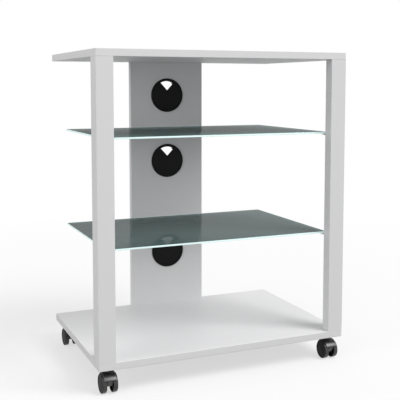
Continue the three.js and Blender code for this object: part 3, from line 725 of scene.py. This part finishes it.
# %% Wheels
RIB_MIDDLE, RIB_LONG, RIB_THICK, RIB_FAR = 12.1, 6.2, 0.8, (7.9, 14.0)
corners_of_rack = {
    "front_left": (-274, -168), "front_right": (274, -168),
    "rear_left": (-274, 168), "rear_right": (274, 168),
}


def wheel(name, centre, side):
    """A wheel whose outer face looks along side, with four ribs between the hub and the tread.

    A rib's outline (u, v) is turned by its angle a:
    across = u cos a - v sin a, up = u sin a + v cos a.
    """
    sheets = [lathe("x", centre, wheel_profile() * (1, side))]
    outline = rounded_box(RIB_LONG, RIB_THICK, 0.3, 2) + (RIB_MIDDLE, 0)
    far = np.array(RIB_FAR)[:, None] * side
    for turn in np.radians([45, 135, 225, 315]):
        across = outline[:, 0] * np.cos(turn) - outline[:, 1] * np.sin(turn)
        up = outline[:, 0] * np.sin(turn) + outline[:, 1] * np.cos(turn)
        sheets += capped(along("x", centre, across, up, far))
    piece = make_piece(f"{name}_rim", sheets, wheel_black, name, 38)
    mark_tread(piece, centre)
    return piece


for corner, (x, y) in corners_of_rack.items():
    out = -1 if x < 0 else 1
    centre = (x, y + AXLE_BACK, AXLE_UP)
    wheel(f"{corner}_outer_wheel", centre, out)
    last = wheel(f"{corner}_inner_wheel", centre, -out)
print("8 wheels,", len(last.data.polygons), "faces each")

# %% Hood shell
HOOD_INNER, HOOD_OUTER, HOOD_HALF = 22.1, 24.0, 14.0
HOOD_START, HOOD_END, HOOD_LIP = math.radians(-14), math.radians(153), math.radians(1.5)
HOOD_ROUND, WEB_HALF = 0.6, 6.5


def directions(steps):
    """The same steps, each with a length of one."""
    return steps / np.linalg.norm(steps, axis=1, keepdims=True)


def drawn_in(section, amount):
    """Moves each point of a closed outline inwards, square to the mean of its two sides.

    The mean direction (u, v) turned by a right angle is (-v, u). That points inwards where the
    outline runs anticlockwise. Where it runs clockwise, the amount is negative.
    """
    before, after = section - np.roll(section, 1, 0), np.roll(section, -1, 0) - section
    ahead = directions(directions(before) + directions(after))
    return section + amount * np.column_stack([-ahead[:, 1], ahead[:, 0]])


def hood_shell(centre):
    """A T-shaped section of (across, radius) carried round the axle: back = r cos a, up = r sin a.

    Near both ends it is drawn in by round * (1 - sqrt(1 - (1 - s)^2)), with s from 0 at the end to
    1 at the lip's inner side.
    """
    section = soften(
        [(-HOOD_HALF, HOOD_INNER), (-WEB_HALF, HOOD_INNER), (-WEB_HALF, 5), (WEB_HALF, 5),
         (WEB_HALF, HOOD_INNER), (HOOD_HALF, HOOD_INNER), (HOOD_HALF, HOOD_OUTER),
         (-HOOD_HALF, HOOD_OUTER)],
        [0.4, 1.0, 0.1, 0.1, 1.0, 0.4, 1.1, 1.1], closed=True)
    s = np.linspace(0, 1, 5)
    lip = HOOD_ROUND * (1 - np.sqrt(1 - (1 - s) ** 2))
    first, last = HOOD_START + s * HOOD_LIP, HOOD_END - s[::-1] * HOOD_LIP
    between = np.linspace(first[-1], last[0], 60)[1:-1]
    angle = np.concatenate([first, between, last])[:, None]
    inset = np.concatenate([lip, 0 * between, lip[::-1]])
    across, radius = np.moveaxis(drawn_in(section, inset[:, None, None]), -1, 0)
    return polar("x", centre, radius, angle, across)


print("the shell has", hood_shell((0, 0, 0)).shape[:2], "points")

# %% Turret and nose
TURRET_RADIUS, TURRET_TOP, SADDLE_RADIUS, PIN_RADIUS = 12.5, 51.7, 23.0, 4.4
NOSE_ROUND = 1.4


def turret_sheets(x, y):
    """The round turret on top, and the saddle where it sinks into the hood.

    The saddle lies on a circle round the axle. Its height over the axle is the square root of
    radius^2 - back^2, with back the distance behind the axle.
    """
    turn = full_turn(72)
    top = soften(
        [(TURRET_RADIUS, 45), (TURRET_RADIUS, 49.7), (10.5, TURRET_TOP), (PIN_RADIUS, TURRET_TOP),
         (PIN_RADIUS, 44), (0, 44)], 0.7)
    radius, up = top.T[:, :, None]
    turret = polar("z", (x, y, 0), radius, turn, up)
    radius = np.array([TURRET_RADIUS, 8, 4, 0])[:, None]
    up = AXLE_UP + np.sqrt(SADDLE_RADIUS ** 2 - (radius * np.sin(turn) - AXLE_BACK) ** 2)
    saddle = polar("z", (x, y, 0), radius, turn, up)
    neck = np.stack([saddle[0], turret[0]])
    return [grid(sheet) for sheet in (neck, turret, saddle)]


def nose_sheets(centre):
    """The nose between the wheels, an outline seen from the side with both its edges rounded.

    The outline is (back, up) from the axle, and it runs clockwise.
    """
    outline = soften(
        [(4, -7.6), (-3, -7.6), (-15.8, -2.2), (-19.6, 9.4), (-8, 14), (4, 14)],
        [0.5, 2, 3.4, 1, 0.5, 0.5], closed=True, steps=6)
    inset, step = quarter_round(NOSE_ROUND)
    across = np.concatenate([-WEB_HALF + step, WEB_HALF - step[::-1]])[:, None]
    amount = np.concatenate([inset, inset[::-1]])[:, None, None]
    back, up = np.moveaxis(drawn_in(outline, -amount), -1, 0)
    return capped(along("x", centre, back, up, across))


print("turret and nose ready")

# %% Hoods
BOSS_RADIUS, BOSS_ROUND = 8.4, 1.8


def hood(corner, x, y):
    """The hood over the wheels, the web and nose between them, the boss and the turret."""
    centre = (x, y + AXLE_BACK, AXLE_UP)
    boss = soften(
        [(0, -WEB_HALF), (BOSS_RADIUS, -WEB_HALF), (BOSS_RADIUS, WEB_HALF), (0, WEB_HALF)],
        BOSS_ROUND)
    sheets = [*capped(hood_shell(centre)), lathe("x", centre, boss, 64), *nose_sheets(centre),
              *turret_sheets(x, y)]
    return make_piece(f"{corner}_caster_hood", sheets, caster_black, f"{corner}_caster_housing", 34)


for corner, (x, y) in corners_of_rack.items():
    print(hood(corner, x, y).name)

# %% [markdown]
# ## Screw heads and cams
# Screws and cams have a cross for the driver pressed into their faces. It could be cut with two
# Boolean boxes, but a height field is simpler and stays closed: the middle of the face is a square
# grid that drops inside the cross, and rings carry it out to the round edge.

# %% Cross-driven faces
def cross_head(half, wide, deep, rings):
    """A face in its own plane, with z up: a sunk cross in a square, then rings out to the edge.

    The square's grid lines lie on the cross's sides. A point sinks if it is within the cross's
    width on one axis and within its length on the other. Rings are pairs of radius and height,
    at the angles of the square's border.
    """
    slope = 0.12
    side = np.array([wide / 2 - slope, wide / 2, half - slope, half, half + slope])
    lines = np.concatenate([-side[::-1], [0], side])
    s, t = np.meshgrid(lines, lines, indexing="ij")
    near, far = np.minimum(abs(s), abs(t)), np.maximum(abs(s), abs(t))
    sunk = (near < (wide - slope) / 2) & (far < half - slope / 2)
    square = np.stack([s, t, rings[0][1] - deep * sunk], -1)
    border = np.concatenate([square[:-1, 0], square[-1, :-1], square[:0:-1, -1], square[0, :0:-1]])
    turn = np.arctan2(border[:, 1], border[:, 0])
    radius, height = np.array(rings, float).T[:, :, None]
    circles = polar("z", (0, 0, 0), radius, turn, height)
    around = np.concatenate([border[None], circles])
    return [grid(square, round_columns=False), grid(around), lid(circles[-1])]


def turned_to(way, centre, sheets):
    """Turns a face that looks up so that it looks to the back or down, and moves it to a place."""
    order, sign = {"back": ((0, 2, 1), 1), "down": ((0, 1, 2), -1)}[way]
    return [((points * (1, 1, sign))[:, order] + centre, faces) for points, faces in sheets]


print("cross heads ready")

# %% Cams
CAM_RADIUS, CAM_DEEP, CAM_UP = 7.3, 12, 690
cam_rings = soften([(5.6, 0), (CAM_RADIUS, 0), (CAM_RADIUS, -CAM_DEEP)], 0.6)
cam_face = cross_head(4, 1.4, 1.6, cam_rings)
cam_places = {
    "left_post": (-287, -162), "right_post": (287, -162),
    "column_left": (-50, 200), "column_right": (50, 200),
}
for name, (x, back) in cam_places.items():
    sheets = turned_to("back", (x, back, CAM_UP), cam_face)
    make_piece(f"{name}_cam_face", sheets, zinc, f"{name}_cam", 30)
print(len(cam_places), "cams")

# %% Caster plates
BOARD_UNDER, PLATE_UNDER = 55.0, 53.0
PLATE_HALF, PLATE_CORNER = 19.0, 5.0
SCREW_OFF, SCREW_UP = 14.5, 51.5


def caster_plate(corner, x, y):
    """A pressed plate with round corners, the kingpin with its washer, and four screw heads."""
    def outline(inset):
        return rounded_box(PLATE_HALF - inset, PLATE_HALF - inset, PLATE_CORNER) + (x, y)

    edge = [(0.4, PLATE_UNDER), (0.1, 53.1), (0, 53.4), (0, 54.9), (0.1, BOARD_UNDER)]
    sheets = slab(outline, edge)
    kingpin = soften(
        [(0, 44.2), (4, 44.2), (4, 52), (9, 52), (9, 53.05), (0, 53.05)],
        [0, 0.2, 0.1, 0.3, 0.1, 0])
    sheets.append(lathe("z", (x, y, 0), kingpin, 64))
    rings = soften([(2.2, 0), (3.1, -0.5), (3.1, -1.5)], 0.5)
    head = cross_head(1.4, 0.7, 0.5, rings)
    for dx in (-SCREW_OFF, SCREW_OFF):
        for dy in (-SCREW_OFF, SCREW_OFF):
            sheets += turned_to("down", (x + dx, y + dy, SCREW_UP), head)
    return make_piece(f"{corner}_swivel_plate", sheets, zinc, f"{corner}_caster_plate", 30)


for corner, (x, y) in corners_of_rack.items():
    print(caster_plate(corner, x, y).name)

# %% Connector screws
SOCKET_FLAT, SOCKET_TOP = 1.82, 57.2


def hex_screw(name, x, y):
    """A screw from below: a round head with a six-sided socket, whose radius follows the hexagon.

    The socket's radius is flat / cos(a), with a the angle from the nearest flat.
    """
    turn = full_turn(72)
    socket = SOCKET_FLAT / np.cos((turn + np.pi / 6) % (np.pi / 3) - np.pi / 6)
    shank = soften(
        [(3.4, BOARD_UNDER), (4.8, BOARD_UNDER), (4.8, 58.0), (3.2, 58.0), (3.2, 70.7),
         (2.4, 70.7), (2.4, 100), (0, 103)],
        [0, 0.5, 0.2, 0.1, 0.1, 0.1, 0.3, 0])
    sunk = [0 * socket, socket, socket]
    radius = np.concatenate([sunk, np.repeat(shank[:, :1], len(turn), 1)])
    up = np.concatenate([[SOCKET_TOP, SOCKET_TOP, BOARD_UNDER], shank[:, 1]])[:, None]
    sheet = polar("z", (x, y, 0), radius, turn, up)
    return make_piece(f"{name}_hex_screw", [grid(sheet)], zinc, f"{name}_screw", 30)


screw_places = {"left_post": (-278, -178), "right_post": (278, -178), "column": (0, 192)}
for name, (x, y) in screw_places.items():
    print(hex_screw(name, x, y).name)

# %% [markdown]
# ## Shelf supports
# Each glass corner rests on a small metal lug with a clear pad. The lug has a pin that is pushed
# into the wood, a collar against the wood and a brace below. Eight linked copies of one object
# would do, but every piece keeps its place in its own mesh. So the points are worked out once,
# pointing along -Y, and turned to face inwards at each place.

# %% Lug
LUG_HALF, LUG_START, LUG_END = 3.5, -0.3, -9.5
BRACE_HALF = 0.9
COLLAR_RADIUS, COLLAR_DROP, COLLAR_FRONT = 4.2, 1.3, -1.2
PIN_HALF, PIN_START, PIN_END = 2.4, -0.5, 9.5


def lug_outline(inset):
    """A strip with a round end: two straight sides and half a circle of its half width."""
    turn = np.linspace(0, np.pi, 25)
    half = LUG_HALF - inset
    tip = np.column_stack([-half * np.cos(turn), LUG_END - half * np.sin(turn)])
    return np.concatenate([[(-half, LUG_START)], tip, [(half, LUG_START)]])


def support_sheets():
    """Lug, brace, collar and pin. The collar is round, but cut off level with the lug's top.

    Its edge is at the smaller of its radius and drop / sin(a), a level line above its middle.
    """
    edge = [(0.3, -2.6), (0.08, -2.5), (0, -2.3), (0, -0.3), (0.08, -0.1), (0.3, 0)]
    sheets = slab(lug_outline, edge)
    brace = np.array([(0, -1.3), (LUG_END, -1.3), (-1.2, -5.2), (0, -5.2)])
    sheets += capped(np.stack([np.insert(brace, 0, x, 1) for x in (-BRACE_HALF, BRACE_HALF)]))
    centre = (0, 0, -COLLAR_DROP)
    turn = full_turn(96)
    rim = np.minimum(COLLAR_RADIUS, COLLAR_DROP / np.maximum(np.sin(turn), 1e-3))
    steps = [(0, COLLAR_FRONT), (0.93, COLLAR_FRONT), (1, -1.0), (1, 0), (0, 0)]
    share, far = np.array(steps).T[:, :, None]
    collar = polar("y", centre, share * rim, turn, far)
    pin = soften([(0, PIN_START), (PIN_HALF, PIN_START), (PIN_HALF, PIN_END), (0, PIN_END)], 0.5)
    return [*sheets, grid(collar), lathe("y", centre, pin, 32)]


print("a lug has", sum(len(points) for points, _ in support_sheets()), "points")

# %% Lugs and pads in place
def moved(sheets, turn, x, y, z):
    """The same sheets turned about Z, to (x cos a - y sin a, x sin a + y cos a), and moved."""
    c, s = math.cos(turn), math.sin(turn)
    spin = np.array([[c, s, 0], [-s, c, 0], [0, 0, 1]])
    return [(points @ spin + (x, y, z), faces) for points, faces in sheets]


support_places = {
    "front_left": (-272, -166, math.pi / 2), "front_right": (272, -166, -math.pi / 2),
    "rear_left": (-80, 184, 0), "rear_right": (80, 184, 0),
}
PAD_RADIUS, PAD_SUNK, PAD_THICK = 2.7, -0.6, 0.8
pad_profile = soften(
    [(0, PAD_SUNK), (PAD_RADIUS, PAD_SUNK), (PAD_RADIUS, PAD_THICK), (0, PAD_THICK)],
    [0, 0.1, 0.35, 0])
lug, soft_pad = support_sheets(), [lathe("z", (0, -7.1, 0), pad_profile, 48)]
for level in ("lower", "upper"):
    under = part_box(f"{level}_glass_shelf")[0].z / MM - PAD_THICK
    for corner, (x, y, turn) in support_places.items():
        node = f"{level}_{corner}"
        lug_here, pad_here = (moved(sheets, turn, x, y, under) for sheets in (lug, soft_pad))
        make_piece(f"{node}_lug", lug_here, nickel, f"{node}_shelf_support")
        make_piece(f"{node}_pad", pad_here, clear_pad, f"{node}_glass_pad")
print("8 supports and 8 pads")

# %% [markdown]
# ## Floor, backdrop and light
# A pale floor takes the rack's shadow. The white around it is the world as the camera, the glass
# and the metal see it. The light that it sends is kept lower, so that white boards don't clip. A
# backdrop that is lit until it turns white would flood the rack with light, so Light Path tells the
# rays that are seen from the light that spreads. The main lamp stands high on the front right, and
# so far off that it lights the foot like the top. It casts the posts' shadows back and to the left,
# and draws the bright band on the caster hoods. A weaker one opens up the left side.

# %% Floor
FLOOR_RADIUS = 9000


def floor_disc():
    """A wide round floor as a polar grid, finer near the rack: the rings' radii grow with s^2."""
    radius = FLOOR_RADIUS * np.linspace(0, 1, 24)[:, None] ** 2
    return grid(polar("z", (0, 0, 0), radius, full_turn(96), 0))


floor_points, floor_faces = floor_disc()
floor_mesh = bpy.data.meshes.new("floor")
floor_mesh.from_pydata((floor_points * MM).tolist(), [], floor_faces.tolist())
floor = bpy.data.objects.new("floor", floor_mesh)
bpy.context.scene.collection.objects.link(floor)
print("floor", len(floor_mesh.polygons), "faces")

# %% Floor finish
FADE_START, FADE_LENGTH, GLOW_NEAR = 0.5, 1.6, 0.62


def seen_rays(recipe):
    """1 for the rays of the camera, of mirrors and of clear glass, 0 for the light that spreads."""
    rays = {wire.socket.name: wire for wire in recipe.add("ShaderNodeLightPath").parts()}
    seen = rays["Is Camera Ray"].most(rays["Is Glossy Ray"])
    return seen.most(rays["Is Transmission Ray"])


floor_look = finish("floor_white")
floor_xyz = xyz(floor_look, place(floor_look))
distance = (floor_xyz[0] ** 2 + floor_xyz[1] ** 2) ** 0.5
fade = ((distance - FADE_START) / FADE_LENGTH).most(0.0).least(1.0)
floor_look.surface(Base_Color=(0.22, 0.22, 0.22), Roughness=0.9, Specular_IOR_Level=0.1)
seen_floor = floor_look.add("ShaderNodeBsdfDiffuse", {}, {"Color": (0.88, 0.88, 0.88)})
glow = floor_look.add("ShaderNodeEmission", {}, {"Color": (1.0, 1.0, 1.0), "Strength": 1.0})
share = GLOW_NEAR + (1 - GLOW_NEAR) * fade
white = floor_look.add("ShaderNodeMixShader", {}, {0: share, 1: seen_floor, 2: glow})
plain = Wire(floor_look, floor_look.shader.outputs[0])
both = floor_look.add("ShaderNodeMixShader", {}, {0: seen_rays(floor_look), 1: plain, 2: white})
floor_look.give(floor_look.output.inputs["Surface"], both)
floor_mesh.materials.append(floor_look.owner)
print("floor finish ready")

# %% World
LIGHT_SENT = 0.55
world = bpy.data.worlds.new("studio")
bpy.context.scene.world = world
studio = Recipe(world)
studio.surface(Color=(1.0, 1.0, 1.0), Strength=LIGHT_SENT + (1 - LIGHT_SENT) * seen_rays(studio))
print("world ready")

# %% Lamps
LAMP_AIM = (0, 0, 0.4)


def soft_lamp(name, at, size, power):
    """A square area lamp at a place, turned to look at the middle of the rack.

    It leans from straight down by arctan(flat / height), and turns about Z to face the aim.
    """
    data = bpy.data.lights.new(name, "AREA")
    data.shape, data.size, data.energy = "SQUARE", size, power
    lamp = bpy.data.objects.new(name, data)
    lamp.location = at
    away = np.subtract(at, LAMP_AIM)
    flat = math.hypot(away[0], away[1])
    lamp.rotation_euler = (math.atan2(flat, away[2]), 0, math.atan2(away[0], -away[1]))
    bpy.context.scene.collection.objects.link(lamp)


soft_lamp("front_lamp", (4.95, -5.90, 8.95), 5.5, 930)
soft_lamp("left_lamp", (-3.4, -1.2, 1.3), 2.0, 32)
print("2 lamps")
